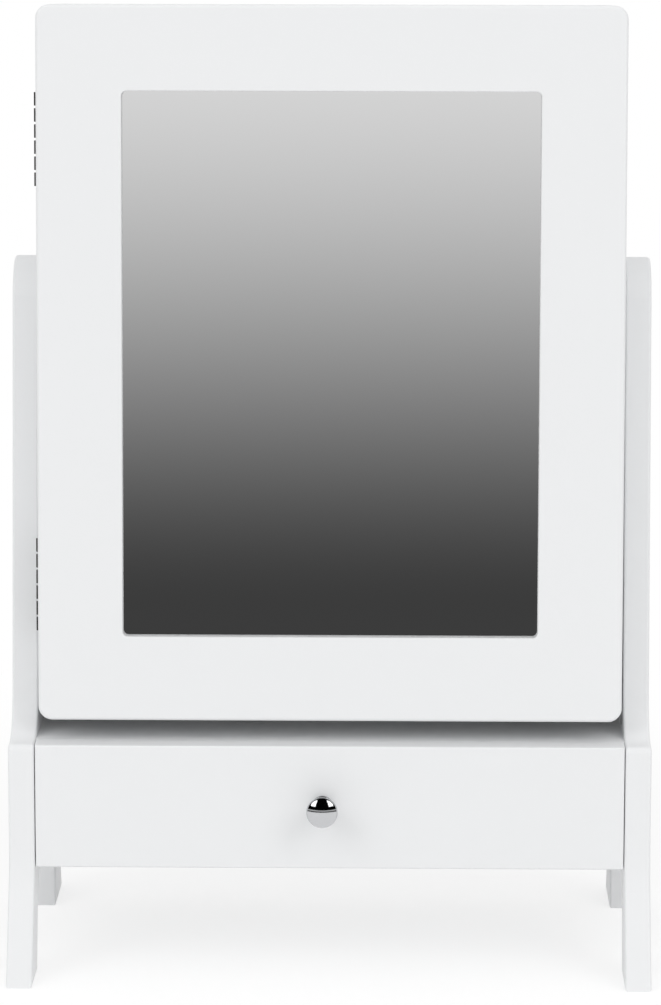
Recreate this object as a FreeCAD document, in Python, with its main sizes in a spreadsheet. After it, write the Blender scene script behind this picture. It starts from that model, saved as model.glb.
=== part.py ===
import FreeCAD
import Part
import os
import re
import Sketcher
from FreeCAD import Vector

# A table-top jewelry cabinet: a shallow box with a mirrored door, hung by two pivot bolts
# between the uprights of a stand that has one drawer.  Millimetres, +Z up, front towards -Y.
# The origin is on the floor, under the middle of the stand.

SIZES = {
    # stand
    "stand_width": 370,
    "stand_depth": 235,
    "stand_height": 409,
    "panel_thickness": 15,
    "front_inset": 30,           # how far the drawer front stands behind the toes
    "upright_inset": 62,         # how far the uprights stand behind the toes
    "base_height": 136,          # top of the base above the floor
    "drawer_front_height": 72,
    "top_radius": 24,            # the uprights are rounded over at the top
    "foot_radius": 60,
    "shelf_nose_radius": 4,
    "shelf_flat": 2,             # least level length of the step under each upright
    "front_foot_length": 41,
    "back_foot_length": 50,
    "arch_drop": 10,             # the arch between the feet stops this far below the drawer
    "arch_radius": 20,
    "arch_lean": 14,
    "panel_edge_radius": 1.5,
    "base_top_thickness": 12,
    "base_bottom_thickness": 9,
    "base_back_thickness": 12,
    "base_bottom_lift": 2,       # the drawer front hangs this far below the bottom board
    # screws that hold the base between the side panels
    "base_screw_radius": 2.5,
    "base_screw_length": 40,
    "screw_head_radius": 4.6,
    "screw_head_height": 2.5,
    "screw_cap_radius": 5,
    "screw_cap_height": 1.5,
    "base_screw_inset": 32.5,
    # drawer
    "drawer_front_thickness": 15,
    "drawer_side_gap": 0.5,
    "drawer_front_gap": 0.5,
    "drawer_wall": 10,
    "drawer_top_clearance": 8.5,
    "drawer_back_clearance": 3,
    "drawer_bottom_thickness": 3,
    "drawer_run_clearance": 0.3,
    "drawer_box_gap": 2,
    "drawer_lining_thickness": 1.5,
    "board_edge_radius": 1,
    # knob
    "knob_offset": -4,           # the knob sits a little left of the drawer's middle
    "knob_rise": 1.5,            # and a little above it
    "knob_head_radius": 9,
    "knob_head_height": 5,
    "knob_rim_radius": 2.2,
    "knob_blend_radius": 1,
    "knob_neck_radius": 3.6,
    "knob_base_radius": 5.6,
    "knob_base_height": 2,
    "knob_length": 22,
    "knob_screw_radius": 2,
    "knob_screw_bite": 9,
    "knob_screw_head_radius": 4,
    "knob_screw_head_height": 2.2,
    "drawer_screw_radius": 1.8,
    "drawer_screw_bite": 10,
    "drawer_screw_inset": 60,
    # how the cabinet hangs
    "pivot_drop": 24,            # the pivots are this far below the top of the stand
    "rest_tilt": 3.1,            # degrees that the cabinet leans back
    "door_inset": 40,            # how far the door's lower front edge stands behind the toes
    "door_clearance": 12.7,        # the door's lower front edge above the base
    "pivot_bolt_radius": 3,
    "pivot_clearance": 0.06,
    "pivot_head_radius": 7,
    "pivot_head_height": 3.5,
    "pivot_insert_radius": 5,
    "pivot_insert_depth": 11,
    "pivot_washer_radius": 9,
    "pivot_play": 0.3,
    # cabinet box
    "side_gap": 2,               # between each upright and the box
    "door_height": 410,
    "door_thickness": 16,
    "door_gap": 1.2,
    "box_depth": 92,
    "box_wall": 12,
    "box_back_thickness": 3,
    "box_corner_radius": 8,
    "lining_thickness": 1.5,
    "dowel_radius": 3,
    "dowel_length": 30,
    "dowel_bite": 8,
    "dowel_spacing": 56,
    # door
    "door_edge_radius": 2,
    "mirror_border": 48.8,
    "mirror_corner_radius": 3,
    "mirror_recess": 5,
    "mirror_rebate": 6,
    "mirror_play": 0.5,
    "mirror_thickness": 3,
    "mirror_backing_thickness": 3,
    "opening_edge_radius": 0.8,
    # hinges
    "hinge_length": 55,
    "hinge_inset": 76.7,           # from the door's top or bottom to the hinge's middle
    "hinge_axis_inset": 0.1,     # the hinge pin's line, in from the door's side
    "knuckle_count": 6,
    "knuckle_gap": 1.5,
    "knuckle_radius": 2.2,
    "knuckle_clearance": 0.4,
    "hinge_pin_radius": 1,
    "hinge_pin_clearance": 0.05,
    "leaf_thickness": 0.5,
    "leaf_width": 11,
    "hinge_screw_radius": 1.2,
    "hinge_screw_length": 9,
    "hinge_screw_head_radius": 2.2,
    "hinge_screw_sink": 0.6,
    "hinge_screw_inset": 7,
    "hinge_screw_spacing": 36,
    # catch
    "catch_width": 10,
    "catch_height": 36,
    "catch_depth": 13,
    "catch_gap": 0.3,
    "magnet_width": 5,
    "magnet_height": 24,
    "magnet_depth": 9,
    "strike_thickness": 0.6,
    "bumper_radius": 4,
    "bumper_height": 0.9,
    "bumper_inset": 40,
    # fittings inside the cabinet
    "hook_rail_height": 22,
    "hook_rail_thickness": 10,
    "hook_rail_drop": 26,
    "hook_count": 10,
    "hook_margin": 29,
    "hook_wire_radius": 1.1,
    "hook_reach": 13,
    "hook_tip_rise": 5,
    "hook_bite": 7,
    "shelf_thickness": 8,
    "shelf_depth": 70,
    "shelf_lower": 88,           # underside above the cabinet's outer bottom
    "shelf_upper": 158,
    "shelf_lip_height": 18,
    "shelf_lip_thickness": 4,
    "ring_roll_count": 4,
    "ring_roll_gap": 0.5,
    "ring_roll_play": 1,
    "earring_bar_count": 4,
    "earring_bar_depth": 9,
    "earring_bar_thickness": 2.6,
    "earring_bar_inset": 6,
}

doc = FreeCAD.newDocument("jewelry_mirror_cabinet")
sheet = doc.addObject("Spreadsheet::Sheet", "Sizes")
for row, (alias, value) in enumerate(SIZES.items(), start=1):
    sheet.set(f"A{row}", alias)
    sheet.set(f"B{row}", str(value))
    sheet.setAlias(f"B{row}", alias)
doc.recompute()

# Sizes worked out from the sheet, kept as expressions.
INNER = "(stand_width / 2 - panel_thickness)"
FRONT = "(-stand_depth / 2 + front_inset)"
REAR = "(stand_depth / 2 - front_inset)"
DRAWER_BOTTOM = "(base_height - drawer_front_height)"
ARCH_TOP = f"({DRAWER_BOTTOM} - arch_drop)"
UPRIGHT = "(stand_depth / 2 - upright_inset)"
TAPER = f"atan(({UPRIGHT} - top_radius) / (stand_height - base_height))"
TOP_HALF = f"(top_radius * tan(45 deg - {TAPER} / 2) + 0.1)"
SHELF_BLEND = "(upright_inset - front_inset - shelf_nose_radius - shelf_flat)"
BASE_FRONT = f"({FRONT} + drawer_front_thickness + drawer_front_gap)"
BOTTOM_BOARD = f"({DRAWER_BOTTOM} + base_bottom_lift)"
RUN_LEVEL = f"({BOTTOM_BOARD} + base_bottom_thickness + drawer_run_clearance)"
DRAWER_HALF = f"({INNER} - drawer_box_gap)"
DRAWER_FLOOR = f"({RUN_LEVEL} + drawer_bottom_thickness)"
BOX_HALF = f"({INNER} - side_gap)"
BOX_FRONT = "(door_thickness + door_gap)"
BOX_REAR = f"({BOX_FRONT} + box_depth)"
BAY_HALF = f"({BOX_HALF} - box_wall)"
BAY_REAR = f"({BOX_REAR} - box_back_thickness - lining_thickness)"
DOOR_LEVEL = "(base_height + door_clearance)"
PIVOT_LEVEL = "(stand_height - pivot_drop)"
PIVOT_BACK = ("((stand_depth / 2 - door_inset) * cos(rest_tilt)"
              f" - ({PIVOT_LEVEL} - {DOOR_LEVEL}) * sin(rest_tilt))")
PIVOT_UP = ("((stand_depth / 2 - door_inset) * sin(rest_tilt)"
            f" + ({PIVOT_LEVEL} - {DOOR_LEVEL}) * cos(rest_tilt))")
OPENING_HALF = f"({BOX_HALF} - mirror_border)"
HINGE_LINE = f"({BOX_HALF} - hinge_axis_inset)"
HINGE_DEPTH = "(door_thickness + door_gap / 2)"
KNUCKLE_PITCH = "(hinge_length / knuckle_count)"

FRAMES = {
    "stand": "placement(vector(0; 0; 0); rotation(vector(1; 0; 0); 0))",
    "cabinet": f"placement(vector(0; -stand_depth / 2 + door_inset; {DOOR_LEVEL});"
               " rotation(vector(1; 0; 0); -rest_tilt))",
}
PIECES = []


def formula(text):
    """The same expression with every size's name pointed at the sheet."""
    return re.sub(r"[a-z]+(_[a-z]+)+", lambda name: "Sizes." + name.group(0), str(text))


def size(name):
    return float(sheet.get(name))


def bind(thing, **expressions):
    for prop, text in expressions.items():
        thing.setExpression(prop.replace("__", "."), formula(text))


def place(thing, frame, x=0, y=0, z=0):
    """Stand a piece's own origin at x, y, z of a frame."""
    shift = f"placement(vector({x}; {y}; {z}); rotation(vector(1; 0; 0); 0))"
    thing.setExpression("Placement", formula(f"{FRAMES[frame]} * {shift}"))


def keep(thing, label, frame, x=0, y=0, z=0):
    """Name a finished piece and put it in its frame."""
    thing.Label = label
    place(thing, frame, x, y, z)
    PIECES.append(thing)
    return thing


# ---- solids from sketches -------------------------------------------------------------

def new_body(label, frame, x=0, y=0, z=0):
    body = doc.addObject("PartDesign::Body", "Body_" + label)
    return keep(body, label, frame, x, y, z)


def new_sketch(body, plane, offset=0):
    sketch = body.newObject("Sketcher::SketchObject", body.Label + "_sketch")
    origin_plane = [item for item in body.Origin.OriginFeatures if item.Role == plane][0]
    sketch.AttachmentSupport = (origin_plane, [""])
    sketch.MapMode = "FlatFace"
    bind(sketch, AttachmentOffset__Base__z=offset)
    return sketch


def fix_point(sketch, geometry, end, u, v):
    """Tie one point of a sketch to its distances from the origin."""
    for kind, text in (("DistanceX", u), ("DistanceY", v)):
        value = evaluate(text)
        index = sketch.addConstraint(Sketcher.Constraint(kind, -1, 1, geometry, end, value))
        sketch.setExpression(f"Constraints[{index}]", formula(text))


def evaluate(text):
    return float(getattr(sheet.evalExpression(formula(text)), "Value",
                         sheet.evalExpression(formula(text))))


def polygon(sketch, points):
    """A closed outline of straight lines through points given as expressions."""
    corners = [Vector(evaluate(u), evaluate(v), 0) for u, v in points]
    lines = [sketch.addGeometry(Part.LineSegment(corner, corners[(i + 1) % len(corners)]))
             for i, corner in enumerate(corners)]
    for i, line in enumerate(lines):
        following = lines[(i + 1) % len(lines)]
        sketch.addConstraint(Sketcher.Constraint("Coincident", line, 2, following, 1))
    for line, (u, v) in zip(lines, points):
        fix_point(sketch, line, 1, u, v)


def rectangle(sketch, u_low, v_low, u_high, v_high):
    polygon(sketch, [(u_low, v_low), (u_high, v_low), (u_high, v_high), (u_low, v_high)])


def circle(sketch, u, v, radius):
    shape = Part.Circle(Vector(evaluate(u), evaluate(v), 0), Vector(0, 0, 1), evaluate(radius))
    ring = sketch.addGeometry(shape)
    fix_point(sketch, ring, 3, u, v)
    index = sketch.addConstraint(Sketcher.Constraint("Radius", ring, evaluate(radius)))
    sketch.setExpression(f"Constraints[{index}]", formula(radius))


def pad(body, sketch, length, reverse=False):
    feature = body.newObject("PartDesign::Pad", body.Label + "_pad")
    feature.Profile = sketch
    feature.Reversed = reverse
    bind(feature, Length=length)
    doc.recompute()
    return feature


def pocket(body, sketch, length, reverse=False):
    """Cut a sketch's outline into the body; the volume has to drop."""
    before = body.Shape.Volume
    feature = body.newObject("PartDesign::Pocket", body.Label + "_pocket")
    feature.Profile = sketch
    feature.Reversed = reverse
    bind(feature, Length=length)
    doc.recompute()
    if not body.Shape.Volume < before:
        raise ValueError(body.Label + ": a pocket cut nothing")
    return feature


def soften(body, radius, wanted):
    """Round the body's edges that wanted() picks by their middle and direction."""
    base = body.Tip
    names = []
    for number, edge in enumerate(base.Shape.Edges, start=1):
        middle = edge.valueAt((edge.FirstParameter + edge.LastParameter) / 2)
        along = edge.tangentAt((edge.FirstParameter + edge.LastParameter) / 2)
        if wanted(middle, along):
            names.append(f"Edge{number}")
    feature = body.newObject("PartDesign::Fillet", body.Label + "_round")
    feature.Base = (base, names)
    bind(feature, Radius=radius)
    doc.recompute()
    return feature


def near(a, b):
    return abs(a - b) < 0.01


def board(label, frame, low, high):
    """A plain rectangular board between two corners."""
    body = new_body(label, frame, *low)
    length, depth, height = (f"({b}) - ({a})" for a, b in zip(low, high))
    sketch = new_sketch(body, "XY_Plane")
    rectangle(sketch, 0, 0, length, depth)
    pad(body, sketch, height)
    return body


# ---- solids from primitives -----------------------------------------------------------

def block(low, high):
    """A helper box between two corners, used inside booleans."""
    box = doc.addObject("Part::Box", "block")
    length, width, height = (f"({b}) - ({a})" for a, b in zip(low, high))
    bind(box, Length=length, Width=width, Height=height)
    place(box, "stand", *low)
    return box


TURN = {
    "x": "rotation(vector(0; 1; 0); 90)",
    "y": "rotation(vector(1; 0; 0); -90)",
    "z": "rotation(vector(1; 0; 0); 0)",
}


def rod(axis, start, length, radius):
    """A helper cylinder that starts at a point and runs along +x, +y or +z."""
    cylinder = doc.addObject("Part::Cylinder", "rod")
    bind(cylinder, Radius=radius, Height=length)
    x, y, z = start
    cylinder.setExpression("Placement", formula(f"placement(vector({x}; {y}; {z}); {TURN[axis]})"))
    return cylinder


def cone(axis, start, length, radius_start, radius_end):
    shape = doc.addObject("Part::Cone", "cone")
    bind(shape, Radius1=radius_start, Radius2=radius_end, Height=length)
    x, y, z = start
    shape.setExpression("Placement", formula(f"placement(vector({x}; {y}; {z}); {TURN[axis]})"))
    return shape


def fuse(*shapes):
    if len(shapes) == 1:
        return shapes[0]
    union = doc.addObject("Part::MultiFuse", "fuse")
    union.Shapes = list(shapes)
    return union


def cut(base, *tools):
    difference = doc.addObject("Part::Cut", "cut")
    difference.Base = base
    difference.Tool = fuse(*tools)
    return difference


def drill(body, axis, level, points, radius, depth, back=False):
    """Blind round holes that start at a level and run along +axis, or -axis with back."""
    plane, sign = {"x": ("YZ_Plane", 1), "y": ("XZ_Plane", -1), "z": ("XY_Plane", 1)}[axis]
    sketch = new_sketch(body, plane, f"{sign} * ({level})")
    for u, v in points:
        circle(sketch, u, v, radius)
    return pocket(body, sketch, depth, back == (sign < 0))


def grid(us, vs):
    return [(u, v) for u in us for v in vs]


# ---- stand ----------------------------------------------------------------------------

SCREW_ROWS = (f"{BOTTOM_BOARD} + base_bottom_thickness / 2", "base_height - base_top_thickness / 2")
SCREW_LINES = (f"{FRONT} + base_screw_inset", f"{REAR} - base_screw_inset")
SCREW_POINTS = grid(SCREW_LINES, SCREW_ROWS)
SCREW_SINK = "(screw_cap_height + screw_head_height)"
SCREW_BITE = f"(base_screw_length - panel_thickness + {SCREW_SINK})"


def side_panel(label, x, outer, inner):
    """An upright and its two feet, cut from one board; outer and inner are its face levels."""
    body = new_body(label, "stand", x)
    sketch = new_sketch(body, "YZ_Plane")
    toe, heel = "-stand_depth / 2", "stand_depth / 2"
    polygon(sketch, [
        (toe, 0),
        (FRONT, DRAWER_BOTTOM),
        (FRONT, "base_height"),
        (f"-{UPRIGHT}", "base_height"),
        (f"-{TOP_HALF}", "stand_height"),
        (TOP_HALF, "stand_height"),
        (UPRIGHT, "base_height"),
        (REAR, "base_height"),
        (REAR, DRAWER_BOTTOM),
        (heel, 0),
        (f"{heel} - back_foot_length", 0),
        (f"{heel} - back_foot_length", ARCH_TOP),
        (f"{toe} + front_foot_length + arch_lean", ARCH_TOP),
        (f"{toe} + front_foot_length", 0),
    ])
    pad(body, sketch, "panel_thickness")

    def corners(*spots):
        spots = [(evaluate(u), evaluate(v)) for u, v in spots]
        return lambda middle, along: any(near(middle.y, u) and near(middle.z, v) for u, v in spots)

    soften(body, "foot_radius", corners((FRONT, DRAWER_BOTTOM), (REAR, DRAWER_BOTTOM)))
    soften(body, SHELF_BLEND,
           corners((f"-{UPRIGHT}", "base_height"), (UPRIGHT, "base_height")))
    soften(body, "shelf_nose_radius", corners((FRONT, "base_height"), (REAR, "base_height")))
    soften(body, "top_radius",
           corners((f"-{TOP_HALF}", "stand_height"), (TOP_HALF, "stand_height")))
    soften(body, "arch_radius",
           corners((f"{heel} - back_foot_length", ARCH_TOP),
                   (f"{toe} + front_foot_length + arch_lean", ARCH_TOP)))
    thickness = size("panel_thickness")
    soften(body, "panel_edge_radius",
           lambda middle, along: near(middle.x, 0) or near(middle.x, thickness))
    from_outside = outer == "panel_thickness"
    drill(body, "x", outer, SCREW_POINTS, "screw_cap_radius", SCREW_SINK, from_outside)
    drill(body, "x", outer, SCREW_POINTS, "base_screw_radius", "panel_thickness", from_outside)
    drill(body, "x", inner, [(0, PIVOT_LEVEL)], "pivot_insert_radius", "pivot_insert_depth",
          not from_outside)
    return body


side_panel("side_panel_left", "-stand_width / 2", "0", "panel_thickness")
side_panel("side_panel_right", INNER, "panel_thickness", "0")


def base_board(label, low, high, screws):
    """A board of the base, drilled in both ends for the screws."""
    body = board(label, "stand", low, high)
    holes = [(f"({y}) - ({low[1]})", f"({z}) - ({low[2]})") for y, z in screws]
    drill(body, "x", "0", holes, "base_screw_radius", SCREW_BITE)
    drill(body, "x", f"2 * {INNER}", holes, "base_screw_radius", SCREW_BITE, True)
    return body


base_board("base_top", (f"-{INNER}", BASE_FRONT, "base_height - base_top_thickness"),
           (INNER, REAR, "base_height"), grid(SCREW_LINES, SCREW_ROWS[1:]))
base_board("base_bottom", (f"-{INNER}", BASE_FRONT, BOTTOM_BOARD),
           (INNER, f"{REAR} - base_back_thickness", f"{BOTTOM_BOARD} + base_bottom_thickness"),
           grid(SCREW_LINES, SCREW_ROWS[:1]))
board("base_back", "stand", (f"-{INNER}", f"{REAR} - base_back_thickness", BOTTOM_BOARD),
      (INNER, REAR, "base_height - base_top_thickness"))

screws = []
caps = []
for y, z in SCREW_POINTS:
    face = "stand_width / 2"
    head = f"{face} - {SCREW_SINK}"
    screws += [
        rod("x", (f"-({face}) + screw_cap_height", y, z), "screw_head_height", "screw_head_radius"),
        rod("x", (f"-({head})", y, z), "base_screw_length", "base_screw_radius"),
        rod("x", (head, y, z), "screw_head_height", "screw_head_radius"),
        rod("x", (f"{head} - base_screw_length", y, z), "base_screw_length", "base_screw_radius"),
    ]
    caps += [
        rod("x", (f"-({face})", y, z), "screw_cap_height", "screw_cap_radius"),
        rod("x", (f"{face} - screw_cap_height", y, z), "screw_cap_height", "screw_cap_radius"),
    ]
keep(fuse(*screws), "base_screws", "stand")
keep(fuse(*caps), "screw_caps", "stand")

PIVOT_LEFT = f"-({INNER} + pivot_insert_depth)"
PIVOT_SHANK = f"({INNER} + pivot_insert_depth - {BAY_HALF} + pivot_play)"
inserts = []
bores = []
bolts = []
washers = []
washer_bores = []
for left, insert, shank, head, washer in (
        (True, PIVOT_LEFT, PIVOT_LEFT, f"-{BAY_HALF} + pivot_play", f"-{INNER}"),
        (False, INNER, f"{BAY_HALF} - pivot_play", f"{BAY_HALF} - pivot_play - pivot_head_height",
         f"{BOX_HALF} + pivot_play")):
    at = (0, PIVOT_LEVEL)
    inserts.append(rod("x", (insert, *at), "pivot_insert_depth", "pivot_insert_radius"))
    bores.append(rod("x", (insert, *at), "pivot_insert_depth", "pivot_bolt_radius"))
    bolts.append(rod("x", (shank, *at), PIVOT_SHANK, "pivot_bolt_radius"))
    bolts.append(rod("x", (head, *at), "pivot_head_height", "pivot_head_radius"))
    washers.append(rod("x", (washer, *at), "side_gap - pivot_play", "pivot_washer_radius"))
    washer_bores.append(rod("x", (washer, *at), "side_gap - pivot_play", "pivot_bolt_radius"))
keep(cut(fuse(*inserts), *bores), "pivot_inserts", "stand")
keep(fuse(*bolts), "pivot_bolts", "stand")
keep(cut(fuse(*washers), *washer_bores), "pivot_washers", "stand")


# ---- drawer ---------------------------------------------------------------------------

DRAWER_WALL_TOP = "(base_height - base_top_thickness - drawer_top_clearance)"
DRAWER_BACK = f"({REAR} - base_back_thickness - drawer_back_clearance)"
DRAWER_INSIDE = f"({DRAWER_HALF} - drawer_wall)"
DRAWER_START = f"({FRONT} + drawer_front_thickness)"
KNOB_LEVEL = f"({DRAWER_BOTTOM} + drawer_front_height / 2 + knob_rise)"
FACE_HALF = f"({INNER} - drawer_side_gap)"
FIXING_LINES = (f"-{DRAWER_INSIDE} + drawer_screw_inset", f"{DRAWER_INSIDE} - drawer_screw_inset")

front = board("drawer_front", "stand", (f"-{FACE_HALF}", FRONT, DRAWER_BOTTOM),
              (FACE_HALF, DRAWER_START, "base_height"))
face_depth = size("drawer_front_thickness")
soften(front, "board_edge_radius", lambda middle, along: near(middle.y, 0))
drill(front, "y", "0", [(f"{FACE_HALF} + knob_offset", f"{KNOB_LEVEL} - {DRAWER_BOTTOM}")],
      "knob_screw_radius", "drawer_front_thickness")
drill(front, "y", "drawer_front_thickness",
      [(f"{FACE_HALF} + {x}", f"{KNOB_LEVEL} - {DRAWER_BOTTOM}") for x in FIXING_LINES],
      "drawer_screw_radius", "drawer_screw_bite", True)

inner_front = board("drawer_box_front", "stand", (f"-{DRAWER_INSIDE}", DRAWER_START, RUN_LEVEL),
                    (DRAWER_INSIDE, f"{DRAWER_START} + drawer_wall", DRAWER_WALL_TOP))
fixing_level = f"{KNOB_LEVEL} - {RUN_LEVEL}"
drill(inner_front, "y", "0", [(f"{DRAWER_INSIDE} + knob_offset", fixing_level)],
      "knob_screw_radius", "drawer_wall")
drill(inner_front, "y", "0", [(f"{DRAWER_INSIDE} + {x}", fixing_level) for x in FIXING_LINES],
      "drawer_screw_radius", "drawer_wall")
board("drawer_side_left", "stand", (f"-{DRAWER_HALF}", DRAWER_START, RUN_LEVEL),
      (f"-{DRAWER_INSIDE}", DRAWER_BACK, DRAWER_WALL_TOP))
board("drawer_side_right", "stand", (DRAWER_INSIDE, DRAWER_START, RUN_LEVEL),
      (DRAWER_HALF, DRAWER_BACK, DRAWER_WALL_TOP))
board("drawer_back", "stand", (f"-{DRAWER_INSIDE}", f"{DRAWER_BACK} - drawer_wall", RUN_LEVEL),
      (DRAWER_INSIDE, DRAWER_BACK, DRAWER_WALL_TOP))
board("drawer_bottom", "stand", (f"-{DRAWER_INSIDE}", f"{DRAWER_START} + drawer_wall", RUN_LEVEL),
      (DRAWER_INSIDE, f"{DRAWER_BACK} - drawer_wall", DRAWER_FLOOR))
board("drawer_lining", "stand", (f"-{DRAWER_INSIDE}", f"{DRAWER_START} + drawer_wall", DRAWER_FLOOR),
      (DRAWER_INSIDE, f"{DRAWER_BACK} - drawer_wall", f"{DRAWER_FLOOR} + drawer_lining_thickness"))

fixings = []
for x in FIXING_LINES:
    fixings.append(rod("y", (x, f"{DRAWER_START} - drawer_screw_bite", KNOB_LEVEL),
                       "drawer_screw_bite + drawer_wall", "drawer_screw_radius"))
    fixings.append(rod("y", (x, f"{DRAWER_START} + drawer_wall", KNOB_LEVEL),
                       "knob_screw_head_height", "knob_screw_head_radius"))
keep(fuse(*fixings), "drawer_screws", "stand")

knob = new_body("knob", "stand", "knob_offset", FRONT, KNOB_LEVEL)
sketch = new_sketch(knob, "YZ_Plane")
HEAD_BACK = "(knob_length - knob_head_height)"
polygon(sketch, [
    ("-knob_length", 0),
    ("-knob_length", "knob_head_radius"),
    (f"-{HEAD_BACK}", "knob_head_radius"),
    (f"-{HEAD_BACK}", "knob_neck_radius"),
    ("-knob_base_height", "knob_neck_radius"),
    ("-knob_base_height", "knob_base_radius"),
    (0, "knob_base_radius"),
    (0, "knob_screw_radius"),
    ("-knob_screw_bite", "knob_screw_radius"),
    ("-knob_screw_bite", 0),
])
turned = knob.newObject("PartDesign::Revolution", "knob_turned")
turned.Profile = sketch
turned.ReferenceAxis = (sketch, ["H_Axis"])
turned.Angle = 360
doc.recompute()
rims = ((size("knob_length"), "knob_rim_radius"), (evaluate(HEAD_BACK), "knob_blend_radius"))
for distance, radius in rims:
    soften(knob, radius,
           lambda middle, along: near(middle.y, -distance)
           and near(abs(middle.z) + abs(middle.x), size("knob_head_radius")))

keep(fuse(
    rod("y", ("knob_offset", f"{FRONT} - knob_screw_bite", KNOB_LEVEL),
        "knob_screw_bite + drawer_front_thickness + drawer_wall", "knob_screw_radius"),
    rod("y", ("knob_offset", f"{DRAWER_START} + drawer_wall", KNOB_LEVEL),
        "knob_screw_head_height", "knob_screw_head_radius"),
), "knob_screw", "stand")


# ---- cabinet --------------------------------------------------------------------------

DOWEL_LINES = (f"({BOX_FRONT} + box_depth / 2 - dowel_spacing / 2)",
               f"({BOX_FRONT} + box_depth / 2 + dowel_spacing / 2)")
DOWEL_ROWS = ("box_wall / 2", "door_height - box_wall / 2")
HINGE_ROWS = ("hinge_inset - hinge_length / 2", "door_height - hinge_inset - hinge_length / 2")
NOTCH_RADIUS = "(knuckle_radius + knuckle_clearance)"
HINGE_SCREW_X = "(hinge_axis_inset + hinge_screw_inset)"


def screw_rows(hinge):
    middle = f"{hinge} + hinge_length / 2"
    return (f"{middle} - hinge_screw_spacing / 2", f"{middle} + hinge_screw_spacing / 2")


def notch(body, x, y):
    """Room for the hinge barrels along a vertical edge of a body."""
    for hinge in HINGE_ROWS:
        drill(body, "z", f"{hinge} - knuckle_gap", [(x, y)], NOTCH_RADIUS,
              "hinge_length + 2 * knuckle_gap")


def box_side(label, x, from_inside, inner, outside):
    """One side wall; its outer corners are rounded like the door's."""
    body = new_body(label, "cabinet", x, BOX_FRONT)
    sketch = new_sketch(body, "XY_Plane")
    rectangle(sketch, 0, 0, "box_wall", "box_depth")
    pad(body, sketch, "door_height")
    soften(body, "box_corner_radius",
           lambda middle, along: near(middle.x, outside) and near(abs(along.y), 1))
    holes = grid([f"{y} - {BOX_FRONT}" for y in DOWEL_LINES], DOWEL_ROWS)
    drill(body, "x", inner, holes, "dowel_radius", "dowel_bite", from_inside)
    drill(body, "x", "0", [(f"{PIVOT_BACK} - {BOX_FRONT}", PIVOT_UP)],
          "pivot_bolt_radius + pivot_clearance", "box_wall")
    return body


left = box_side("cabinet_side_left", f"-{BOX_HALF}", True, "box_wall", 0)
notch(left, "hinge_axis_inset", "-door_gap / 2")
box_screws = [(HINGE_SCREW_X, z) for hinge in HINGE_ROWS for z in screw_rows(hinge)]
drill(left, "y", "0", box_screws, "hinge_screw_head_radius", "hinge_screw_sink")
drill(left, "y", "0", box_screws, "hinge_screw_radius", "hinge_screw_length - leaf_thickness")
box_side("cabinet_side_right", BAY_HALF, False, "0", size("box_wall"))


def box_end(label, z):
    """The top or bottom of the box, dowelled between its sides."""
    body = board(label, "cabinet", (f"-{BAY_HALF}", BOX_FRONT, z),
                 (BAY_HALF, BOX_REAR, f"{z} + box_wall"))
    holes = grid([f"{y} - {BOX_FRONT}" for y in DOWEL_LINES], ["box_wall / 2"])
    bite = "dowel_length - dowel_bite"
    drill(body, "x", "0", holes, "dowel_radius", bite)
    drill(body, "x", f"2 * {BAY_HALF}", holes, "dowel_radius", bite, True)


box_end("cabinet_bottom", "0")
box_end("cabinet_top", "door_height - box_wall")
dowels = [rod("x", (x, y, z), "dowel_length", "dowel_radius")
          for x in (f"-({BAY_HALF} + dowel_bite)", f"{BAY_HALF} + dowel_bite - dowel_length")
          for y in DOWEL_LINES for z in DOWEL_ROWS]
keep(fuse(*dowels), "cabinet_dowels", "cabinet")

BAY_TOP = "(door_height - box_wall)"
board("cabinet_back", "cabinet", (f"-{BAY_HALF}", f"{BOX_REAR} - box_back_thickness", "box_wall"),
      (BAY_HALF, BOX_REAR, BAY_TOP))
board("back_lining", "cabinet", (f"-{BAY_HALF}", BAY_REAR, "box_wall"),
      (BAY_HALF, f"{BAY_REAR} + lining_thickness", BAY_TOP))

RAIL_FRONT = f"({BAY_REAR} - hook_rail_thickness)"
RAIL_TOP = f"({BAY_TOP} - hook_rail_drop)"
HOOK_LEVEL = f"({RAIL_TOP} - hook_rail_height / 2)"
HOOK_TIP = f"({RAIL_FRONT} - hook_reach)"
hooks = []
sockets = []
for number in range(int(size("hook_count"))):
    x = f"({BAY_HALF} - hook_margin) * ({number} / (hook_count - 1) * 2 - 1)"
    elbow = doc.addObject("Part::Sphere", "elbow")
    bind(elbow, Radius="hook_wire_radius")
    place(elbow, "stand", x, HOOK_TIP, HOOK_LEVEL)
    hooks += [
        elbow,
        rod("y", (x, HOOK_TIP, HOOK_LEVEL), "hook_reach + hook_bite", "hook_wire_radius"),
        rod("z", (x, HOOK_TIP, HOOK_LEVEL), "hook_tip_rise", "hook_wire_radius"),
    ]
    sockets.append(rod("y", (x, RAIL_FRONT, HOOK_LEVEL), "hook_bite", "hook_wire_radius"))
rail = block((f"-{BAY_HALF}", RAIL_FRONT, f"{RAIL_TOP} - hook_rail_height"),
             (BAY_HALF, BAY_REAR, RAIL_TOP))
keep(cut(rail, *sockets), "hook_rail", "cabinet")
keep(fuse(*hooks), "necklace_hooks", "cabinet")

SHELF_FRONT = f"({BAY_REAR} - shelf_depth)"
for name in ("lower", "upper"):
    level = "shelf_" + name
    deck = f"{level} + shelf_thickness"
    board(level, "cabinet", (f"-{BAY_HALF}", SHELF_FRONT, level), (BAY_HALF, BAY_REAR, deck))
    board("shelf_lip_" + name, "cabinet", (f"-{BAY_HALF}", SHELF_FRONT, deck),
          (BAY_HALF, f"{SHELF_FRONT} + shelf_lip_thickness", f"{deck} + shelf_lip_height"))

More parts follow.
